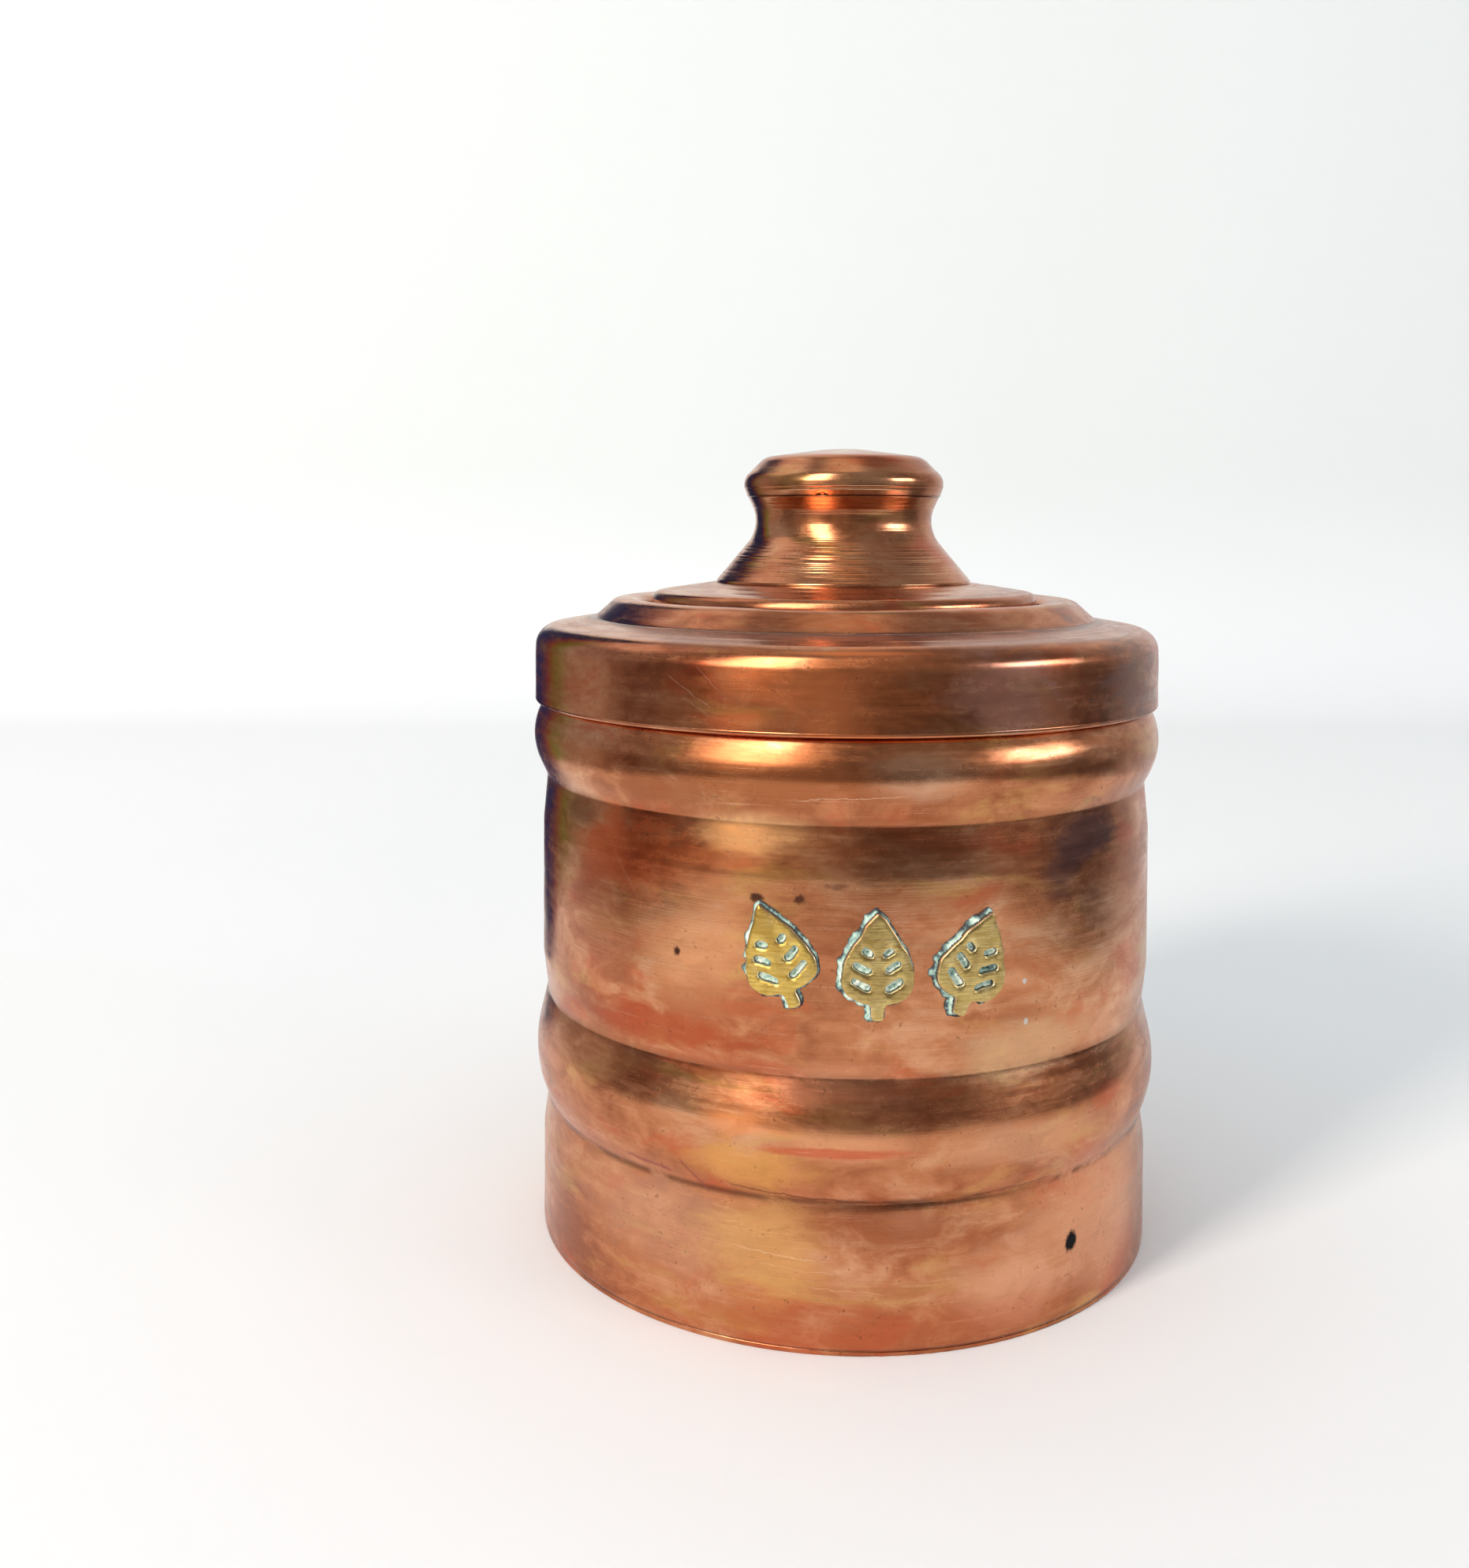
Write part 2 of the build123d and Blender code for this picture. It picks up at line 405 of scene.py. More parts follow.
def leaf_loops(seed):
    """A leaf's outline and its vein slots, with the leaf to the left of each line."""
    t = np.linspace(0, 1, 200)[:, None]
    a, b, c, d = (np.array(p) for p in LEAF_SIDE)
    right = (1 - t) ** 3 * a + 3 * (1 - t) ** 2 * t * b + 3 * (1 - t) * t**2 * c + t**3 * d
    right = right[(right[:, 0] > LEAF_STALK / 2) | (right[:, 1] > 0)]
    right = np.vstack([[[LEAF_STALK / 2, LEAF_STALK_LOW]], right])
    loops = [eased(np.vstack([right, (right * (-1, 1))[::-1]]), 0.08, 0.28)]
    end = np.radians(np.linspace(90, -90, 16))
    for x, y, length in VEINS:
        half = (length - VEIN_WIDTH) / 2
        bow = np.stack([np.cos(end) * VEIN_WIDTH / 2 + half, np.sin(end) * VEIN_WIDTH / 2], axis=-1)
        slot = np.vstack([bow, -bow])
        for side in (1, -1):
            turn = math.radians(side * VEIN_RISE)
            across = slot[:, 0] * math.cos(turn) - slot[:, 1] * math.sin(turn)
            up = slot[:, 0] * math.sin(turn) + slot[:, 1] * math.cos(turn)
            loops.append(eased(np.stack([across + side * x, up + y], axis=-1), 0.06, 0.07))
    made = []
    for loop in loops:
        x, y = loop.T
        dx = 0.09 * np.sin(1.3 * x + 0.9 * y + seed) + 0.035 * np.sin(3.4 * y + 2 * seed)
        dy = 0.08 * np.sin(1.1 * y - 0.8 * x + 1.7 * seed) + 0.035 * np.sin(3.1 * x - seed)
        made.append(np.stack([x + dx, y + dy], axis=-1))
    return made


def moved_left(loop, distance):
    """The closed line moved to its left by a distance."""
    way = np.roll(loop, -1, axis=0) - np.roll(loop, 1, axis=0)
    way /= np.linalg.norm(way, axis=1)[:, None]
    return loop + distance * np.stack([-way[:, 1], way[:, 0]], axis=-1)


def within(points, loops):
    """Which points an odd number of the loops go round."""
    odd = np.zeros(len(points), bool)
    for loop in loops:
        (x1, y1), (x2, y2) = loop.T, np.roll(loop, -1, axis=0).T
        for a, b, c, d in zip(x1, y1, x2, y2):
            if b != d:
                crosses = (b > points[:, 1]) != (d > points[:, 1])
                odd ^= crosses & (points[:, 0] < a + (points[:, 1] - b) * (c - a) / (d - b))
    return odd


def nearest(points, lines):
    """Each point's distance to the lines' points, and the way there."""
    target = np.vstack(lines)
    found = np.empty((len(points), 3))
    for k in range(0, len(points), 1500):
        gap = points[k : k + 1500, None] - target[None]
        far = (gap**2).sum(axis=-1)
        best = far.argmin(axis=1)
        rows = np.arange(len(best))
        found[k : k + 1500, 0] = np.sqrt(far[rows, best])
        found[k : k + 1500, 1:] = gap[rows, best]
    return found[:, 0], found[:, 1:]


def on_wall(x, y, height, place):
    """Points of a leaf's plan, bent round the caddy at its place, at a height over the wall."""
    direction, middle, lean = place
    turn = math.radians(lean)
    across = x * math.cos(turn) - y * math.sin(turn)
    up = x * math.sin(turn) + y * math.cos(turn)
    a = math.radians(direction) + np.arcsin(across / WALL_R)
    r = WALL_R + height
    return np.stack([r * np.sin(a), -r * np.cos(a), middle + up], axis=-1)


def leaf_mesh(name, place, seed):
    """One leaf with a worn bevel, a face that is not quite flat, and a closed back."""
    loops = leaf_loops(seed)
    grid_step, grid_clear = 0.4, 0.2
    plan, drop, rings = [], [], []
    for inward, fall in LEAF_EDGE:
        ring = []
        for loop in loops:
            first = sum(len(p) for p in plan)
            plan.append(moved_left(loop, inward))
            drop.append(np.full(len(loop), fall))
            ring.append(range(first, first + len(loop)))
        rings.append(ring)
    edge = plan[-len(loops) :]
    low, high = loops[0].min(axis=0), loops[0].max(axis=0)
    axes = [np.arange(a, b, grid_step) for a, b in zip(low, high)]
    grid = np.stack(np.meshgrid(*axes), axis=-1).reshape(-1, 2)
    grid = grid[within(grid, edge)]
    grid = grid[nearest(grid, edge)[0] > grid_clear]
    start = rings[-1][0][0]
    plan, drop = np.vstack([*plan, grid]), np.concatenate([*drop, np.zeros(len(grid))])
    edges = [(r[k] - start, r[(k + 1) % len(r)] - start) for r in rings[-1] for k in range(len(r))]
    points = [Vector(p) for p in plan[start:]]
    verts, _, triangles, origin, _, _ = delaunay_2d_cdt(points, edges, [], 0, 1e-6)
    triangles = np.array([[origin[v][0] + start for v in t] for t in triangles])
    triangles = triangles[within(plan[triangles].mean(axis=1), edge)]
    faces = [tuple(t) for t in triangles]
    for outer_ring, inner_ring in zip(rings, rings[1:]):
        for o, n in zip(outer_ring, inner_ring):
            pairs = [(k, (k + 1) % len(o)) for k in range(len(o))]
            faces.extend((o[k], o[m], n[m], n[k]) for k, m in pairs)
    x, y = plan.T
    wave = 0.012 * np.sin(1.9 * x + seed) * np.sin(1.4 * y - seed)
    top = on_wall(x, y, SOLDER_T + LEAF_T - 0.02 - drop + wave, place)
    back = on_wall(x, y, np.full(len(x), LEAF_BACK), place)
    count = len(plan)
    faces += [tuple(v + count for v in reversed(f)) for f in faces]
    for ring in rings[0]:
        pairs = [(ring[k], ring[(k + 1) % len(ring)]) for k in range(len(ring))]
        faces.extend((a + count, b + count, b, a) for a, b in pairs)
    return mesh_object(name, np.vstack([top, back]), faces, sharp=50)


def crust_mesh(name):
    """Corroded solder round the leaves and in their slots, heaped on their left sides."""
    step, reach, sunk, under_leaf = 0.09, 1.25, -0.10, 0.25
    tops, backs, faces = [], [], []
    for place, seed in zip(LEAVES.values(), LEAF_SEEDS):
        loops = leaf_loops(seed)
        low, high = loops[0].min(axis=0) - reach, loops[0].max(axis=0) + reach
        axes = [np.arange(a, b, step) for a, b in zip(low, high)]
        grid = np.stack(np.meshgrid(*axes), axis=-1)
        rows, columns = grid.shape[:2]
        flat = grid.reshape(-1, 2)
        far, way = nearest(flat, loops)
        metal = within(flat, loops)
        opening = within(flat, loops[1:])
        turn = math.radians(place[2])
        left = way @ (-math.cos(turn), math.sin(turn))
        side = np.clip(0.5 + 0.5 * left / np.maximum(far, 1e-6), 0, 1)
        spots = [Vector((x, y, 3.7 * seed)) for x, y in flat]
        broad = np.array([lumps(p * 0.9) for p in spots])
        small = np.array([lumps(p * 2.8) for p in spots])
        grain = np.array([lumps(p * 7.0) for p in spots])
        patchy = np.clip(0.55 + 1.5 * broad, 0, 1)
        width = 0.24 + 0.14 * side + 0.40 * side * patchy + 0.05 * small
        heap = 0.30 + 0.46 * side * patchy + 0.06 * small
        slope = np.clip(1 - far / np.maximum(width, 0.12), 0, 1) ** 0.7
        height = heap * slope + 0.05 * grain * np.minimum(slope * 3, 1)
        height = np.where(slope > 0, height, sunk)
        filled = 0.34 + 0.30 * np.clip(1 - far / 0.4, 0, 1)
        filled = filled + 0.18 * small + 0.16 * broad + 0.07 * grain
        height = np.where(opening, filled, height)
        height = np.where(metal, under_leaf, height)
        kept = (height > sunk + 0.001).reshape(rows, columns)
        wide = np.pad(kept, 1)
        shifts = [(i, j) for i in range(3) for j in range(3)]
        kept = sum(wide[i : i + rows, j : j + columns] for i, j in shifts) > 0
        number = np.full((rows, columns), -1)
        number[kept] = np.arange(kept.sum()) + sum(len(t) for t in tops)
        chosen = flat[kept.ravel()]
        middle = on_wall(*chosen.T, np.zeros(len(chosen)), place)
        a = np.arctan2(middle[:, 0], -middle[:, 1])
        add = wall_shape(np.full(len(a), WALL_R), middle[:, 2], a)[0]
        tops.append(on_wall(*chosen.T, height[kept.ravel()] + add, place))
        backs.append(on_wall(*chosen.T, add + 1.5 * sunk, place))
        whole = kept[:-1, :-1] & kept[1:, :-1] & kept[:-1, 1:] & kept[1:, 1:]
        for i, j in zip(*np.nonzero(whole)):
            faces.append((number[i, j], number[i, j + 1], number[i + 1, j + 1], number[i + 1, j]))
    verts = np.vstack(tops + backs)
    count = len(verts) // 2
    used = dict.fromkeys(edge for f in faces for edge in zip(f, f[1:] + f[:1]))
    rim = [(a, b) for a, b in used if (b, a) not in used]
    faces += [tuple(v + count for v in reversed(f)) for f in faces]
    faces += [(a + count, b + count, b, a) for a, b in rim]
    made = mesh_object(name, verts, [tuple(int(v) for v in f) for f in faces])
    tidy = bmesh.new()
    tidy.from_mesh(made.data)
    bmesh.ops.delete(tidy, geom=[v for v in tidy.verts if not v.link_faces], context="VERTS")
    tidy.to_mesh(made.data)
    tidy.free()
    return made


# --- Node helpers ---
class Graph:
    """A node tree, with short ways to add nodes and join them."""

    def __init__(self, tree):
        self.tree = tree
        self.shader = tree.nodes.get("Principled BSDF")

    def add(self, kind, inputs=(), **settings):
        node = self.tree.nodes.new(kind)
        for key, value in settings.items():
            setattr(node, key, value)
        for key, value in dict(inputs).items():
            self.join(node.inputs[key], value)
        return node

    def feed(self, name, value):
        """Joins a value to an input of the material's shader."""
        self.join(self.shader.inputs[name], value)

    def relief(self, height, strength, depth):
        """A fine relief in the shader's normal; its depth is in millimetres."""
        inputs = {"Strength": strength, "Distance": depth * MM, "Height": height}
        self.feed("Normal", self.add("ShaderNodeBump", inputs).outputs[0])

    def join(self, socket, value):
        if isinstance(value, bpy.types.NodeSocket):
            self.tree.links.new(value, socket)
        elif value is not None:
            socket.default_value = value

    def math(self, operation, a, b=None, c=None):
        sources = {k: v for k, v in enumerate((a, b, c)) if v is not None}
        return self.add("ShaderNodeMath", sources, operation=operation).outputs[0]

    def mix(self, share, a, b, blend="MIX"):
        node = self.add("ShaderNodeMix", data_type="RGBA", blend_type=blend)
        for socket, value in zip((node.inputs[0], node.inputs[6], node.inputs[7]), (share, a, b)):
            self.join(socket, value)
        return node.outputs[2]

    def times(self, a, b):
        return self.math("MULTIPLY", a, b)

    def times_add(self, a, b, c):
        return self.math("MULTIPLY_ADD", a, b, c)

    def minus(self, a, b):
        return self.math("SUBTRACT", a, b)

    def noise(self, vector, scale=1.0, detail=3.0, rough=0.55, distortion=0.0):
        inputs = {"Vector": vector, "Scale": scale, "Detail": detail, "Roughness": rough}
        inputs["Distortion"] = distortion
        return self.add("ShaderNodeTexNoise", inputs).outputs["Fac"]

    def ramp(self, value, *stops):
        node = self.add("ShaderNodeValToRGB", {0: value})
        elements = node.color_ramp.elements
        while len(elements) < len(stops):
            elements.new(1.0)
        for element, (place, colour) in zip(elements, stops):
            element.position = place
            element.color = (*colour, 1.0)
        return node.outputs[0]

    def between(self, value, low, high):
        """0 below low, 1 above high (or the other way round), eased between."""
        inputs = {0: value, 1: low, 2: high, 3: 0.0, 4: 1.0}
        node = self.add("ShaderNodeMapRange", inputs, interpolation_type="SMOOTHSTEP")
        return node.outputs[0]

    def stretched(self, x, y, z):
        return self.add("ShaderNodeCombineXYZ", {0: x, 1: y, 2: z}).outputs[0]


def new_material(name):
    """A new material and the graph of its nodes."""
    material = bpy.data.materials.new(name)
    material.use_nodes = True
    return material, Graph(material.node_tree)


class Place:
    """Where a surface point is: x, y, z, radius, direction, and along the profile."""

    def __init__(self, graph):
        self.graph = graph
        coords = graph.add("ShaderNodeTexCoord").outputs["Object"]
        scaled = graph.add("ShaderNodeVectorMath", {0: coords, 3: 1 / MM}, operation="SCALE")
        self.vector = scaled.outputs[0]
        self.x, self.y, self.z = graph.add("ShaderNodeSeparateXYZ", {0: self.vector}).outputs
        flat = graph.stretched(self.x, self.y, 0.0)
        self.r = graph.add("ShaderNodeVectorMath", {0: flat}, operation="LENGTH").outputs["Value"]
        backward = graph.times(self.y, -1.0)
        self.direction = graph.math("DEGREES", graph.math("ARCTAN2", self.x, backward))
        self.along = graph.minus(self.z, graph.times(self.r, 0.8))

    def lines(self, round_scale, along_scale, shift=0.0):
        """Coordinates stretched along the turning lines."""
        graph = self.graph
        return graph.stretched(
            graph.times_add(self.x, round_scale, shift),
            graph.times(self.y, round_scale),
            graph.times(self.along, along_scale),
        )


# Stains on the wall, and patches of painted reflection and painted shade: direction (degrees),
# height, half width (degrees), half height, how uneven the edge is, colour, strength
WALL_STAINS_AND_PAINTED_LIGHT = [
    (-58, 55.2, 7, 2.0, 0.8, (0.15, 0.06, 0.03), 0.6),
    (-38.3, 54.8, 5, 1.4, 0.8, (0.24, 0.09, 0.04), 0.5),
    (39, 54.4, 8, 2.6, 0.7, (0.09, 0.045, 0.045), 0.85),
    (33, 51.0, 3.5, 2.6, 0.8, (0.13, 0.06, 0.05), 0.8),
    (-44, 51.8, 13, 4.2, 0.8, (0.80, 0.175, 0.055), 0.75),
    # Painted shade: darker where the wall's left side mirrors the floor.
    (-51, 43.0, 8, 8.0, 0.9, (0.42, 0.12, 0.055), 0.6),
    (-36, 33.4, 14, 2.4, 0.8, (0.46, 0.09, 0.035), 0.8),
    (-28, 30.5, 12, 1.5, 0.8, (0.52, 0.13, 0.06), 0.5),
    (-20, 56.0, 9, 2.0, 0.7, (0.94, 0.50, 0.23), 0.8),
    # Painted reflection: the floor's light mirrored on the wall's left side.
    (-31, 43.5, 9, 6.0, 0.9, (0.93, 0.44, 0.21), 0.5),
    # Painted reflection: lighter on the upper bead's front.
    (5, 63.2, 7, 2.2, 0.8, (0.88, 0.54, 0.34), 0.5),
    # Painted reflection, this and the next: lighter where the lower bead mirrors the room.
    (-6, 23.6, 10, 2.0, 0.8, (0.87, 0.39, 0.20), 0.6),
    (-7, 28.8, 9, 2.2, 0.8, (0.78, 0.34, 0.19), 0.6),
    # Painted reflection: the pale floor mirrored low on the wall.
    (-38, 12.0, 14, 5.0, 0.9, (0.84, 0.48, 0.32), 0.28),
    (-21, 20.0, 10, 2.6, 0.7, (0.84, 0.41, 0.12), 0.65),
    (-17, 11.0, 9, 5.0, 0.8, (0.85, 0.46, 0.16), 0.55),
    (-20, 24.4, 8, 1.1, 0.6, (0.88, 0.34, 0.14), 0.6),
    (-8, 22.3, 11, 0.5, 0.6, (0.60, 0.11, 0.05), 0.7),
    # Painted shade: darker low on the wall's front.
    (3, 14.0, 14, 3.2, 0.8, (0.36, 0.095, 0.04), 0.75),
    # Painted reflection: the pale floor mirrored low on the wall's right.
    (24, 6.0, 10, 4.0, 0.8, (0.88, 0.46, 0.28), 0.6),
    (4, 54.5, 13, 3.0, 0.8, (0.36, 0.105, 0.04), 0.6),
    # Painted shade: darker where the upper bead's left flank mirrors the floor.
    (-35, 60.0, 14, 2.2, 0.8, (0.36, 0.12, 0.05), 0.85),
    # Tarnish that is also painted shade, dimming the window's highlight on the upper bead.
    (-16, 62.4, 15, 3.0, 0.6, (0.42, 0.14, 0.055), 0.92),
    # Painted shade: darker on the wall's left side, where it mirrors the floor.
    (-30, 37.0, 8, 2.0, 0.8, (0.48, 0.16, 0.07), 0.5),
    (44, 10.5, 15, 6.5, 0.8, (0.80, 0.40, 0.23), 0.6),
    (26, 31.8, 12, 2.8, 0.8, (0.80, 0.49, 0.27), 0.55),
    (26, 22.0, 14, 2.0, 0.8, (0.80, 0.42, 0.24), 0.5),
    (0, 3.0, 30, 2.4, 0.9, (0.52, 0.14, 0.06), 0.5),
    (150, 45.0, 16, 9.0, 0.9, (0.20, 0.08, 0.05), 0.6),
    (-110, 40.0, 12, 10.0, 0.9, (0.45, 0.12, 0.05), 0.5),
    (95, 12.0, 12, 4.0, 0.8, (0.30, 0.11, 0.06), 0.6),
]
SPOTS = [
    (36.0, 8.8, 1.35, 1.15, 0.35, (0.010, 0.008, 0.009), 1.0),
    (-33.6, 42.1, 0.6, 0.5, 0.5, (0.06, 0.02, 0.018), 0.95),
    (-19.5, 49.1, 1.0, 0.5, 0.5, (0.05, 0.02, 0.018), 0.9),
    (-12.5, 49.1, 0.8, 0.5, 0.6, (0.07, 0.025, 0.02), 0.85),
    (25.3, 34.95, 0.4, 0.3, 0.4, (0.70, 0.66, 0.62), 0.8),
    (25.0, 39.4, 0.4, 0.3, 0.4, (0.75, 0.72, 0.68), 0.8),
    (-6.5, 50.6, 1.6, 0.35, 0.8, (0.12, 0.04, 0.03), 0.6),
]
# Scratches: from direction and height, to direction and height, half width, colour, strength
SCORES = [
    (-45.0, 17.9, -34.0, 17.4, 0.35, (0.32, 0.09, 0.08), 0.7),
    (-33.0, 19.4, -27.5, 15.8, 0.30, (0.32, 0.09, 0.08), 0.75),
    (-26.0, 17.4, 9.0, 16.2, 0.16, (0.12, 0.035, 0.02), 0.6),
    (9.0, 16.3, 33.0, 16.9, 0.10, (0.20, 0.06, 0.035), 0.8),
    (-48.0, 52.5, -41.0, 46.5, 0.14, (0.78, 0.42, 0.28), 0.4),
    (-5.0, 36.3, 3.0, 33.8, 0.12, (0.66, 0.28, 0.16), 0.5),
    (-14.0, 59.9, 5.0, 60.4, 0.07, (0.90, 0.60, 0.40), 0.5),
    (-24.0, 10.9, -9.0, 10.2, 0.10, (0.85, 0.52, 0.30), 0.6),
    (-20.0, 9.6, -6.0, 8.8, 0.07, (0.85, 0.52, 0.30), 0.5),
    (-12.0, 7.4, 2.0, 6.9, 0.07, (0.85, 0.52, 0.30), 0.4),
]
# Painted shade and painted reflection on the lid's band and shoulder: direction, height, half
# width, half height, how uneven the edge is, colour, strength.
LID_PAINTED_SHADE_AND_REFLECTION = [
    # Painted shade on the shoulder and the top of the band.
    (10, 76.6, 60, 0.8, 0.8, (0.38, 0.16, 0.09), 0.8),
    # Painted reflection: lighter and redder on the band's front.
    (-4, 70.5, 16, 5.0, 0.9, (0.80, 0.26, 0.10), 0.8),
    # Painted reflection: paler on the band right of the front.
    (20, 70.5, 9, 4.0, 0.9, (0.60, 0.33, 0.25), 0.6),
    # Painted shade: darker on the band's right side.
    (51, 70.5, 9, 5.0, 0.9, (0.26, 0.18, 0.15), 0.7),
]
LID_SCORES = [
    (-35.0, 72.9, -26.0, 68.9, 0.07, (0.85, 0.60, 0.48), 0.6),
    (-29.5, 74.0, -25.0, 71.0, 0.06, (0.85, 0.60, 0.48), 0.5),
    (-32.0, 70.4, -26.5, 68.2, 0.06, (0.80, 0.55, 0.42), 0.5),
    (-41.0, 71.9, -37.0, 70.7, 0.05, (0.80, 0.55, 0.42), 0.4),
    (12.0, 72.2, 17.0, 70.1, 0.05, (0.70, 0.42, 0.30), 0.4),
]


def patch_mask(graph, place, tint, wobble):
    """1 inside a patch (a stain, a spot, painted reflection, painted shade), 0 outside, with an
    uneven edge.
    """
    direction, height, wide, tall, uneven, _, strength = tint
    across = graph.math("DIVIDE", graph.minus(place.direction, direction), wide)
    up = graph.math("DIVIDE", graph.minus(place.z, height), tall)
    squares = [graph.math("POWER", part, 2.0) for part in (across, up)]
    reach = graph.math("SQRT", graph.math("ADD", *squares))
    push = graph.times(graph.minus(wobble, 0.5), 3.4 * uneven)
    pushed = graph.math("ADD", reach, push)
    edge = 0.12 + 0.5 * uneven
    return graph.times(graph.between(pushed, 1 + edge, 1 - edge), strength)


def score_mask(graph, place, score, wobble):
    """1 along a thin scratch, 0 away from it."""
    from_a, from_z, to_a, to_z, half, _, strength = score
    share = graph.math("DIVIDE", graph.minus(place.direction, from_a), to_a - from_a)
    line = graph.times_add(share, to_z - from_z, from_z)
    line = graph.times_add(graph.minus(wobble, 0.5), 1.2, line)
    off = graph.math("ABSOLUTE", graph.minus(place.z, line))
    ends = graph.times(graph.between(share, 0.0, 0.15), graph.between(share, 1.0, 0.85))
    across = graph.between(off, half, half * 0.2)
    return graph.times(across, graph.times(ends, strength))


def copper(name, colours, gloss, stains_and_painted_light=(), spots=(), scores=(), grooves=()):
    """Turned copper with old tarnish: mottled colour, faint turning lines, spots and stains, and
    patches of painted reflection and painted shade.
    """
    material, graph = new_material(name)
    place = Place(graph)
    dark, middle, light = colours
    patch = graph.noise(place.lines(0.045, 0.075), 1.0, 3.0, 0.55, 0.3)
    mottle = graph.noise(place.lines(0.13, 0.26), 1.0, 5.0, 0.62, 0.7)
    cloud = graph.noise(place.lines(0.42, 0.70, 7.0), 1.0, 4.0, 0.68, 0.4)
    smear = graph.noise(place.lines(0.07, 0.95, 3.0), 1.0, 4.0, 0.6, 0.3)
    hair = graph.noise(place.lines(0.10, 6.5), 1.0, 3.0, 0.7)
    grain = graph.noise(place.vector, 1.5, 3.0, 0.7)
    tone = graph.times(patch, 0.40)
    for part, share in ((mottle, 0.36), (cloud, 0.14), (smear, 0.10)):
        tone = graph.times_add(part, share, tone)
    colour = graph.ramp(tone, (0.40, dark), (0.50, middle), (0.61, light))
    redness = graph.noise(place.lines(0.06, 0.12, 11.0), 1.0, 5.0, 0.62, 0.9)
    red = graph.times(graph.between(redness, 0.53, 0.66), 0.6)
    colour = graph.mix(red, colour, (middle[0] * 0.98, middle[1] * 0.55, middle[2] * 0.5, 1))
    gold = graph.noise(place.lines(0.07, 0.22, 19.0), 1.0, 5.0, 0.62, 0.6)
    gold = graph.times(graph.between(gold, 0.54, 0.68), 0.5)
    colour = graph.mix(gold, colour, (middle[0] * 1.12, middle[1] * 1.65, middle[2] * 1.15, 1))
    dull = graph.times(graph.between(mottle, 0.60, 0.42), 0.25)
    # Stains, and patches of painted reflection and painted shade.
    for tint in stains_and_painted_light:
        mask = patch_mask(graph, place, tint, mottle)
        colour = graph.mix(mask, colour, (*tint[5], 1))
        if max(tint[5]) < 0.3:
            dull = graph.math("MAXIMUM", dull, mask)
    brown = graph.times(graph.between(grain, 0.60, 0.70), graph.between(cloud, 0.42, 0.62))
    deep = (dark[0] * 0.5, dark[1] * 0.45, dark[2] * 0.5, 1)
    colour = graph.mix(graph.times(brown, 0.6), colour, deep)
    rubbed = graph.times(graph.between(hair, 0.55, 0.72), graph.between(smear, 0.48, 0.62))
    colour = graph.mix(graph.times(rubbed, 0.30), colour, (0.86, 0.52, 0.33, 1))
    shade = graph.times(graph.between(hair, 0.46, 0.30), 0.16)
    colour = graph.mix(shade, colour, (0.55, 0.42, 0.38, 1), "MULTIPLY")
    for height, spread, depth in grooves:
        off = graph.math("ABSOLUTE", graph.minus(place.z, height))
        broken = graph.between(mottle, 0.38, 0.56)
        across = graph.between(off, spread, 0.0)
        share = graph.times(across, graph.times(broken, depth))
        colour = graph.mix(share, colour, (0.10, 0.035, 0.02, 1))
    for score in scores:
        colour = graph.mix(score_mask(graph, place, score, cloud), colour, (*score[5], 1))
    for spot in spots:
        mask = patch_mask(graph, place, spot, grain)
        colour = graph.mix(mask, colour, (*spot[5], 1))
        dull = graph.math("MAXIMUM", dull, graph.times(mask, 1.6))
    graph.feed("Base Color", colour)
    graph.shader.inputs["Metallic"].default_value = 1.0
    rough = graph.times_add(graph.between(smear, 0.3, 0.7), 0.07, gloss)
    rough = graph.times_add(graph.between(cloud, 0.35, 0.65), 0.05, rough)
    rough = graph.times_add(dull, 0.20, rough)
    graph.feed("Roughness", rough)
    lift = graph.times_add(smear, 0.5, graph.times(hair, 0.7))
    lift = graph.times_add(grain, 0.3, lift)
    graph.relief(lift, 0.10, 0.05)
    graph.shader.inputs["Anisotropic"].default_value = 0.4
    tangent = graph.add("ShaderNodeTangent", direction_type="RADIAL", axis="Z").outputs[0]
    graph.feed("Tangent", tangent)
    return material


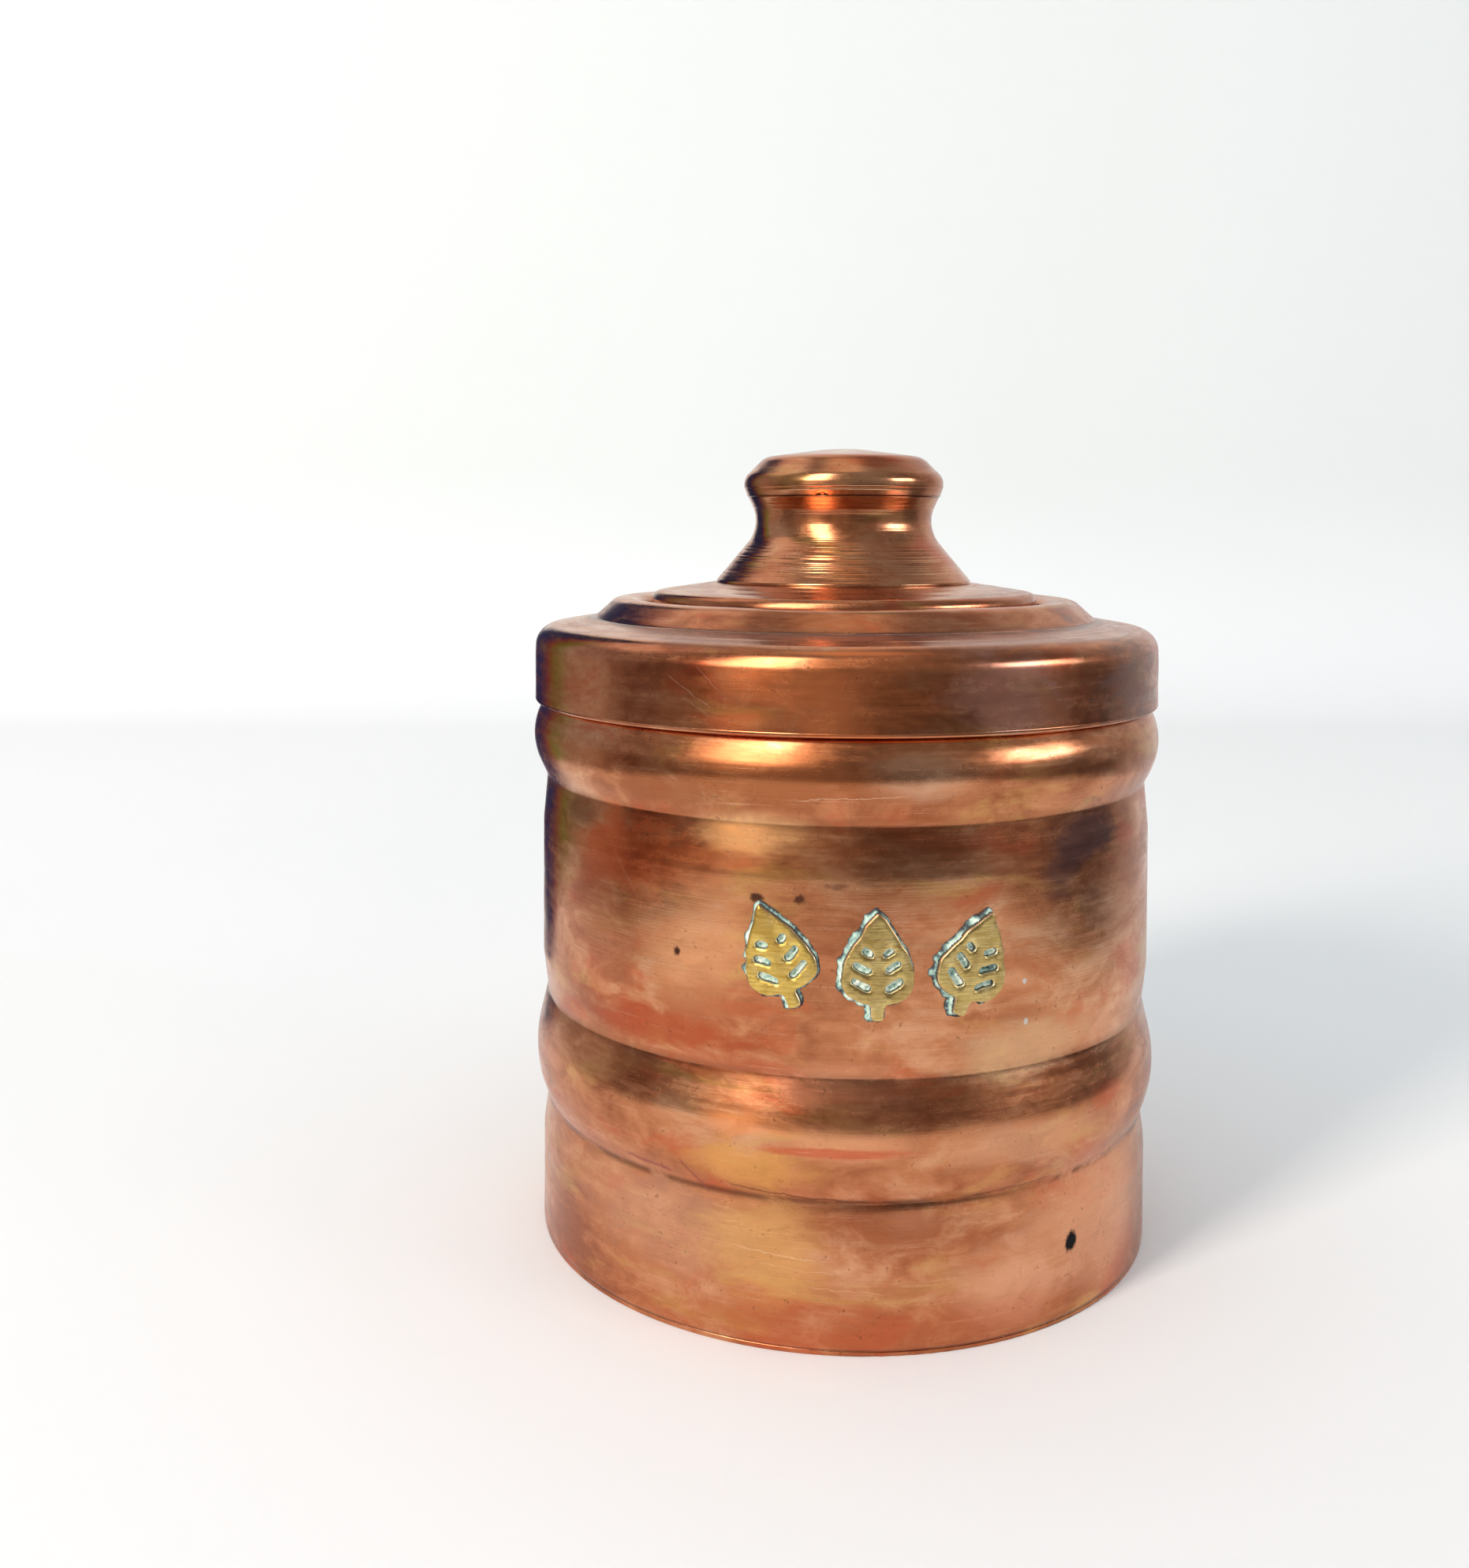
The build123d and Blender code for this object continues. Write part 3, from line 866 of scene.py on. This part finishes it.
def brass(name):
    """Filed brass: level strokes, deeper scores, worn bright edges, and painted shade with solder
    grime down its sides.
    """
    material, graph = new_material(name)
    place = Place(graph)
    strokes = graph.noise(place.lines(0.30, 5.0), 1.0, 4.0, 0.7, 0.2)
    scores = graph.noise(place.lines(0.40, 2.6, 5.0), 1.0, 3.0, 0.6, 0.7)
    cloud = graph.noise(place.vector, 0.28, 4.0, 0.6, 0.4)
    grain = graph.noise(place.vector, 3.0, 3.0, 0.7)
    colour = graph.ramp(
        cloud, (0.36, (0.50, 0.35, 0.13)), (0.52, (0.66, 0.49, 0.19)), (0.68, (0.80, 0.62, 0.25))
    )
    golden = graph.between(place.direction, -6.0, -12.0)
    colour = graph.mix(golden, colour, (1.12, 1.05, 0.72, 1), "MULTIPLY")
    filed = graph.between(strokes, 0.40, 0.66)
    colour = graph.mix(filed, colour, (0.80, 0.72, 0.55, 1), "MULTIPLY")
    scored = graph.times(graph.between(scores, 0.36, 0.26), 0.75)
    colour = graph.mix(scored, colour, (0.26, 0.15, 0.05, 1))
    face = WALL_R + SOLDER_T + LEAF_T
    above, below = (face - 0.22, face - 0.12), (face - 0.02, face - 0.09)
    worn = graph.times(*[graph.between(place.r, *ends) for ends in (above, below)])
    colour = graph.mix(worn, colour, (0.95, 0.88, 0.66, 1))
    # Dark and less metallic down the sides: painted shade together with solder grime.
    low = graph.times_add(graph.minus(grain, 0.5), 0.4, place.r)
    side_shade_and_grime = graph.between(low, face - 0.16, face - 0.34)
    colour = graph.mix(side_shade_and_grime, colour, (0.075, 0.085, 0.075, 1))
    graph.feed("Base Color", colour)
    graph.feed("Metallic", graph.times_add(side_shade_and_grime, -0.8, 1.0))
    rough = graph.times_add(strokes, 0.16, 0.20)
    graph.feed("Roughness", graph.times_add(side_shade_and_grime, 0.4, rough))
    lift = graph.times_add(scores, 0.8, strokes)
    graph.relief(lift, 0.35, 0.05)
    return material


def verdigris(name):
    """Corroded solder: chalky white and blue-green crust on its heaps, dark grey where thin, which
    is also painted shade along the leaves' outlines.
    """
    material, graph = new_material(name)
    place = Place(graph)
    patch = graph.noise(place.vector, 0.75, 4.0, 0.65, 0.5)
    grain = graph.noise(place.vector, 4.5, 3.0, 0.7)
    above = graph.minus(place.r, WALL_R)
    level = graph.times_add(graph.minus(patch, 0.5), 1.5, above)
    level = graph.times_add(graph.minus(grain, 0.5), 0.3, level)
    # The lowest levels go dark grey: thin solder, and painted shade along the leaves' outlines.
    colour = graph.ramp(
        level,
        (0.02, (0.030, 0.028, 0.030)),
        (0.14, (0.075, 0.095, 0.10)),
        (0.26, (0.20, 0.32, 0.29)),
        (0.40, (0.44, 0.60, 0.50)),
        (0.60, (0.70, 0.79, 0.68)),
        (0.85, (0.86, 0.88, 0.80)),
    )
    colour = graph.mix(graph.between(grain, 0.55, 0.72), colour, (0.66, 0.74, 0.70, 1), "MULTIPLY")
    graph.feed("Base Color", colour)
    graph.feed("Roughness", graph.times_add(grain, 0.35, 0.50))
    graph.relief(grain, 0.5, 0.10)
    return material


def steel(name):
    """Plated steel with turning lines and a little brown in the scratches."""
    material, graph = new_material(name)
    place = Place(graph)
    lines = graph.noise(place.lines(0.5, 7.0), 1.0, 3.0, 0.6)
    cloud = graph.noise(place.vector, 0.5, 3.0)
    colour = graph.ramp(
        cloud, (0.35, (0.30, 0.27, 0.24)), (0.55, (0.52, 0.51, 0.49)), (0.7, (0.66, 0.66, 0.65))
    )
    rust = graph.times(graph.between(lines, 0.58, 0.72), 0.6)
    colour = graph.mix(rust, colour, (0.22, 0.13, 0.08, 1))
    graph.feed("Base Color", colour)
    graph.shader.inputs["Metallic"].default_value = 1.0
    graph.feed("Roughness", graph.times_add(lines, 0.2, 0.26))
    graph.relief(lines, 0.2, 0.04)
    return material


# --- Pieces ---
TURNS = 360             # steps round the caddy
KNOB_TURNS = 256
SMALL_TURNS = 96
STUD_TURNS = 72


def finish_piece(piece, material, body, node):
    """Gives a piece its material and its body, and hides the CAD node that it stands for."""
    piece.data.materials.append(material)
    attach(piece, body)
    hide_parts(node)


WALL_COLOURS = ((0.36, 0.115, 0.05), (0.57, 0.22, 0.10), (0.75, 0.39, 0.215))
LID_COLOURS = ((0.34, 0.11, 0.052), (0.55, 0.21, 0.10), (0.70, 0.35, 0.19))
KNOB_COLOURS = ((0.38, 0.125, 0.055), (0.58, 0.23, 0.11), (0.70, 0.36, 0.19))

wall_copper = copper(
    "wall_copper", WALL_COLOURS, 0.15, WALL_STAINS_AND_PAINTED_LIGHT, SPOTS, SCORES,
    grooves=[(16.4, 0.7, 0.7), (29.9, 1.0, 0.35), (57.2, 1.0, 0.3)],
)
lid_copper = copper(
    "lid_copper", LID_COLOURS, 0.14, LID_PAINTED_SHADE_AND_REFLECTION, scores=LID_SCORES, grooves=[(77.0, 0.3, 0.8)]
)
knob_copper = copper("knob_copper", KNOB_COLOURS, 0.12, grooves=[(CAP_LOW_Z + 0.05, 0.25, 0.7)])

wall_section = sheet_section(WALL, SHEET, 0.42, 2.0, roll_start=False)
wall = spun("wall_spun", wall_section, TURNS, wall_shape)
finish_piece(wall, wall_copper, "body", "body_wall")

lid = spun("lid_spun", sheet_section(LID, SHEET, 0.3, 1.0, roll_end=False), TURNS, lid_shape)
finish_piece(lid, lid_copper, "lid", "lid_shell")

dome = spun("dome_spun", sheet_section(DOME, SHEET, 0.25, 1.0, False, False), TURNS, dome_shape)
finish_piece(dome, lid_copper, "lid", "dome_plate")

neck_section = sheet_section(NECK, KNOB_SHEET, 0.08, 0.5, False, False)
neck = spun("neck_spun", neck_section, KNOB_TURNS, neck_shape)
finish_piece(neck, knob_copper, "lid", "knob_neck")

cap_section = sheet_section(CAP, KNOB_SHEET, 0.1, 0.4, False, False)
cap = spun("cap_spun", cap_section, KNOB_TURNS, cap_shape)
finish_piece(cap, knob_copper, "lid", "knob_cap")

brass_face = brass("leaf_brass")
for (node, place), seed in zip(LEAVES.items(), LEAF_SEEDS):
    leaf = leaf_mesh(node + "_cut", place, seed)
    finish_piece(leaf, brass_face, "body", node)
finish_piece(crust_mesh("solder_crust"), verdigris("solder_crust"), "body", "leaf_solder")


def ring_section(low, high, inner, outer, corner, step):
    """A closed section of a disc with a hole, with small rounded edges."""
    points = [
        (inner, low), (outer - corner, low), (outer, low + corner),
        (outer, high - corner), (outer - corner, high), (inner, high),
    ]
    line = rounded([(*p, 0) for p in [*points, points[0]]], step)
    return line[:-1]


bright_steel = steel("stud_steel")
low, high = height_of("knob_stud", 0), height_of("knob_stud", 1)
head_low = high - STUD_HEAD_T
head_flat = STUD_HEAD_R - STUD_HEAD_EDGE
stud_corners = [
    (0, low), (STUD_R - STUD_TIP, low), (STUD_R, low + STUD_TIP), (STUD_R, head_low),
    (head_flat, head_low), (STUD_HEAD_R, head_low + STUD_HEAD_EDGE),
    (STUD_HEAD_R, high - STUD_HEAD_EDGE), (head_flat, high), (0, high),
]
stud_section = rounded([(*corner, 0) for corner in stud_corners], 0.12)
stud = spun("stud_threaded", stud_section, STUD_TURNS, thread_shape, sharp=40)
finish_piece(stud, bright_steel, "lid", "knob_stud")

washer_ends = height_of("stud_washer", 0), height_of("stud_washer", 1)
washer_section = ring_section(*washer_ends, HOLE_R, WASHER_R, WASHER_EDGE, 0.4)
washer = spun("washer_rounded", washer_section, SMALL_TURNS, sharp=40)
finish_piece(washer, bright_steel, "lid", "stud_washer")

nut_ends = height_of("stud_nut", 0), height_of("stud_nut", 1)
blank = NUT_FLATS / 2 / math.cos(math.pi / 6)
nut_section = ring_section(*nut_ends, STUD_R + NUT_PLAY, blank, 0.02, 0.15)
nut = spun("nut_chamfered", nut_section, SMALL_TURNS, nut_shape, sharp=25)
finish_piece(nut, bright_steel, "lid", "stud_nut")

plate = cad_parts["base_plate"]
plate.data.materials.clear()
plate.data.materials.append(wall_copper)


# --- Stage ---
# The floor and the backdrop are one sweep of paper. The copper mirrors only the floor near it and
# the backdrop behind that; past there it mirrors the dim room.
MIRRORED_X = (-0.185, 0.172)
MIRRORED_Y = -0.222
SWEEP_Y = 0.46
SWEEP_R = 0.12
STAGE_HALF = 3.0
STAGE_TOP = 2.5


def stage_material(name, floor, wall):
    """Matt paint with a faint unevenness, a little darker up the wall."""
    material, graph = new_material(name)
    coords = graph.add("ShaderNodeTexCoord").outputs["Object"]
    height = graph.add("ShaderNodeSeparateXYZ", {0: coords}).outputs[2]
    uneven = graph.noise(coords, 3.0, 2.0)
    colours = []
    for pale in (floor, wall):
        duller = tuple(c * 0.985 for c in pale)
        colours.append(graph.ramp(uneven, (0.3, duller), (0.7, pale)))
    graph.feed("Base Color", graph.mix(graph.between(height, 0.01, 0.12), *colours))
    graph.shader.inputs["Roughness"].default_value = 0.75
    graph.shader.inputs["Specular IOR Level"].default_value = 0.2
    return material


def stage_strip(name, sides, profile, material, mirrored):
    """A sheet between two X positions through (y, z) points, all in metres."""
    verts = [(x / MM, y / MM, z / MM) for y, z in profile for x in sides]
    faces = [(2 * i, 2 * i + 1, 2 * i + 3, 2 * i + 2) for i in range(len(profile) - 1)]
    strip = mesh_object(name, verts, faces)
    strip.data.materials.append(material)
    strip.visible_glossy = mirrored
    strip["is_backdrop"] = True


paint = stage_material("pale_paint", (0.89, 0.88, 0.875), (0.78, 0.79, 0.77))
curve = [
    (SWEEP_Y + SWEEP_R * math.sin(t), SWEEP_R * (1 - math.cos(t)))
    for t in np.linspace(0, math.pi / 2, 24)
]
sweep = [(MIRRORED_Y, 0), *curve, (SWEEP_Y + SWEEP_R, STAGE_TOP)]
stage_strip("stage_middle", MIRRORED_X, sweep, paint, True)
stage_strip("stage_left", (-STAGE_HALF, MIRRORED_X[0]), sweep, paint, False)
stage_strip("stage_right", (MIRRORED_X[1], STAGE_HALF), sweep, paint, False)
front = [(-STAGE_HALF, 0), (MIRRORED_Y, 0)]
stage_strip("stage_front", (-STAGE_HALF, STAGE_HALF), front, paint, False)


def studio_flag(name, start, end, top, colour):
    """An upright coloured card between two floor points, seen only in the copper."""
    corners = [(*start, 0), (*end, 0), (*end, top), (*start, top)]
    card = mesh_object(name, np.array(corners) / MM, [(0, 1, 2, 3)], smooth=False)
    material, graph = new_material(name)
    graph.tree.nodes.remove(graph.shader)
    glow = graph.add("ShaderNodeEmission", {"Color": (*colour, 1), "Strength": 1.0})
    graph.tree.links.new(glow.outputs[0], graph.tree.nodes["Material Output"].inputs["Surface"])
    card.data.materials.append(material)
    card.visible_camera = False
    card.visible_diffuse = False
    card.visible_shadow = False
    card.visible_transmission = False
    card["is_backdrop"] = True


FLAG_TOP = 0.22
studio_flag("flag_blue", (-0.115, 0.0955), (-0.0847, 0.090), FLAG_TOP, (0.012, 0.03, 0.13))
studio_flag("flag_blue_side", (-0.0847, 0.090), (-0.093, 0.232), FLAG_TOP, (0.02, 0.035, 0.12))
studio_flag("flag_red", (-0.150, 0.112), (-0.116, 0.0995), FLAG_TOP, (0.30, 0.03, 0.035))
studio_flag("flag_green", (-0.24, 0.135), (-0.150, 0.112), FLAG_TOP, (0.16, 0.26, 0.05))

# The room that the copper mirrors: a direction (degrees from -Y to +X) and a colour at each stop
ROOM_LOW = [
    (-180, (0.85, 0.85, 0.83)),
    (-136, (0.50, 0.46, 0.43)),
    (-133, (0.45, 0.40, 0.37)),
    (-97, (0.43, 0.36, 0.33)),
    (-90, (0.15, 0.10, 0.09)),
    (-74, (0.15, 0.11, 0.10)),
    (-72, (0.27, 0.23, 0.21)),
    (-62, (0.27, 0.23, 0.21)),
    (-60, (0.17, 0.14, 0.13)),
    (-51, (0.17, 0.14, 0.13)),
    (-49, (0.35, 0.29, 0.25)),
    (-28, (0.35, 0.29, 0.25)),
    (-25, (0.38, 0.33, 0.29)),
    (-3, (0.38, 0.33, 0.29)),
    (0, (0.13, 0.115, 0.11)),
    (40, (0.13, 0.115, 0.115)),
    (44, (0.27, 0.25, 0.25)),
    (76, (0.27, 0.25, 0.25)),
    (79, (0.13, 0.12, 0.13)),
    (101, (0.13, 0.12, 0.13)),
    (112, (0.40, 0.40, 0.42)),
    (135, (0.75, 0.76, 0.78)),
    (180, (0.85, 0.85, 0.83)),
]
ROOM_HIGH = [
    (-180, (0.90, 0.90, 0.88)),
    (-145, (0.82, 0.81, 0.79)),
    (-125, (0.44, 0.43, 0.46)),
    (-100, (0.40, 0.39, 0.43)),
    (-80, (0.24, 0.21, 0.21)),
    (-55, (0.24, 0.20, 0.19)),
    (-15, (0.30, 0.27, 0.25)),
    (0, (0.25, 0.23, 0.22)),
    (45, (0.26, 0.25, 0.25)),
    (90, (0.20, 0.19, 0.20)),
    (112, (0.45, 0.45, 0.46)),
    (135, (0.80, 0.80, 0.80)),
    (180, (0.90, 0.90, 0.88)),
]
CEILING = (0.30, 0.29, 0.30)
AMBIENT = (0.69, 0.76, 0.82)    # what the room lights everything else with
# Windows: middle direction and half width, low and high edge, all in degrees, edge softness, colour
WINDOWS = [
    (-38.0, 12.0, 9.0, 60.0, 1.5, (9.0, 8.4, 7.4)),
    (-43.0, 9.0, -6.0, 2.0, 1.2, (1.30, 1.08, 0.82)),
    (-36.0, 2.2, 4.0, 6.5, 0.4, (1.8, 1.5, 1.1)),
    (67.0, 14.0, 7.0, 22.0, 2.0, (6.5, 6.7, 7.2)),
    (-122.0, 28.0, 36.0, 66.0, 6.0, (0.95, 0.88, 0.88)),
    (0.0, 190.0, 78.0, 100.0, 4.0, (0.85, 0.72, 0.60)),
]


def room():
    """The world: pale for what it lights, a dim room with windows for what the copper mirrors."""
    world = bpy.data.worlds.new("room")
    bpy.context.scene.world = world
    world.use_nodes = True
    graph = Graph(world.node_tree)
    graph.tree.nodes.clear()
    way = graph.add("ShaderNodeTexCoord").outputs["Generated"]
    x, y, z = graph.add("ShaderNodeSeparateXYZ", {0: way}).outputs
    direction = graph.math("DEGREES", graph.math("ARCTAN2", x, graph.times(y, -1.0)))
    height = graph.math("DEGREES", graph.math("ARCSINE", z))
    share = graph.math("DIVIDE", graph.math("ADD", direction, 180.0), 360.0)
    low, high = (
        graph.ramp(share, *[((at + 180) / 360, colour) for at, colour in stops])
        for stops in (ROOM_LOW, ROOM_HIGH)
    )
    walls = graph.mix(graph.between(height, -3.0, 4.0), low, high)
    walls = graph.mix(graph.between(height, 40.0, 65.0), walls, (*CEILING, 1))
    for centre, half, bottom, top, edge, colour in WINDOWS:
        off = graph.math("ABSOLUTE", graph.minus(direction, centre))
        seen = graph.between(off, half + edge, half - edge)
        seen = graph.times(seen, graph.between(height, bottom - edge, bottom + edge))
        seen = graph.times(seen, graph.between(height, top + edge, top - edge))
        walls = graph.mix(seen, walls, (*colour, 1))
    mirrored = graph.add("ShaderNodeBackground", {"Color": walls, "Strength": 1.0}).outputs[0]
    soft = graph.add("ShaderNodeBackground", {"Color": (*AMBIENT, 1), "Strength": 1.0}).outputs[0]
    ray = graph.add("ShaderNodeLightPath").outputs["Is Glossy Ray"]
    both = graph.add("ShaderNodeMixShader", {0: ray, 1: soft, 2: mirrored}).outputs[0]
    graph.tree.links.new(both, graph.add("ShaderNodeOutputWorld").inputs["Surface"])


room()


def softbox(name, place, target, size, power, colour):
    """A large soft lamp that the copper doesn't mirror, because the room's windows stand for it."""
    light = bpy.data.lights.new(name, "AREA")
    light.shape = "RECTANGLE"
    light.size, light.size_y = size
    light.energy = power
    light.color = colour
    lamp = bpy.data.objects.new(name, light)
    bpy.context.scene.collection.objects.link(lamp)
    lamp.location = place
    lamp.rotation_mode = "QUATERNION"
    lamp.rotation_quaternion = (Vector(target) - Vector(place)).to_track_quat("-Z", "Y")
    lamp.visible_glossy = False


softbox("key_softbox", (-0.95, -0.85, 0.62), (0, 0, 0.05), (0.30, 0.42), 15.5, (1.0, 0.915, 0.83))
softbox("side_softbox", (1.0, -0.5, 0.35), (0, 0, 0.05), (0.35, 0.35), 1.2, (1.0, 0.95, 0.9))


# --- Camera ---
LENS = 34.82            # for a sensor 36 mm wide
SENSOR = 36.0
SHIFT_Y = -0.1403       # the photograph is cropped unevenly
CAMERA_PLACE = (-0.02081, -0.19803, 0.08923)
CAMERA_YAW, CAMERA_PITCH, CAMERA_ROLL = -1.908, -1.565, 0.221   # degrees, from level toward +Y


def camera():
    """The photographer's place: level with the knob's foot and a little to the left, close in."""
    data = bpy.data.cameras.new("camera")
    data.lens = LENS
    data.sensor_width = SENSOR
    data.shift_y = SHIFT_Y
    data.clip_start = 0.01
    data.clip_end = 20.0
    made = bpy.data.objects.new("camera", data)
    bpy.context.scene.collection.objects.link(made)
    yaw, pitch, roll = (math.radians(t) for t in (CAMERA_YAW, CAMERA_PITCH, CAMERA_ROLL))
    turn = Matrix.Rotation(yaw, 4, "Z") @ Matrix.Rotation(math.pi / 2 + pitch, 4, "X")
    turn = turn @ Matrix.Rotation(roll, 4, "Z")
    made.matrix_world = Matrix.Translation(CAMERA_PLACE) @ turn
    bpy.context.scene.camera = made


camera()
bpy.context.scene.view_settings.view_transform = "Standard"

low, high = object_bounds()
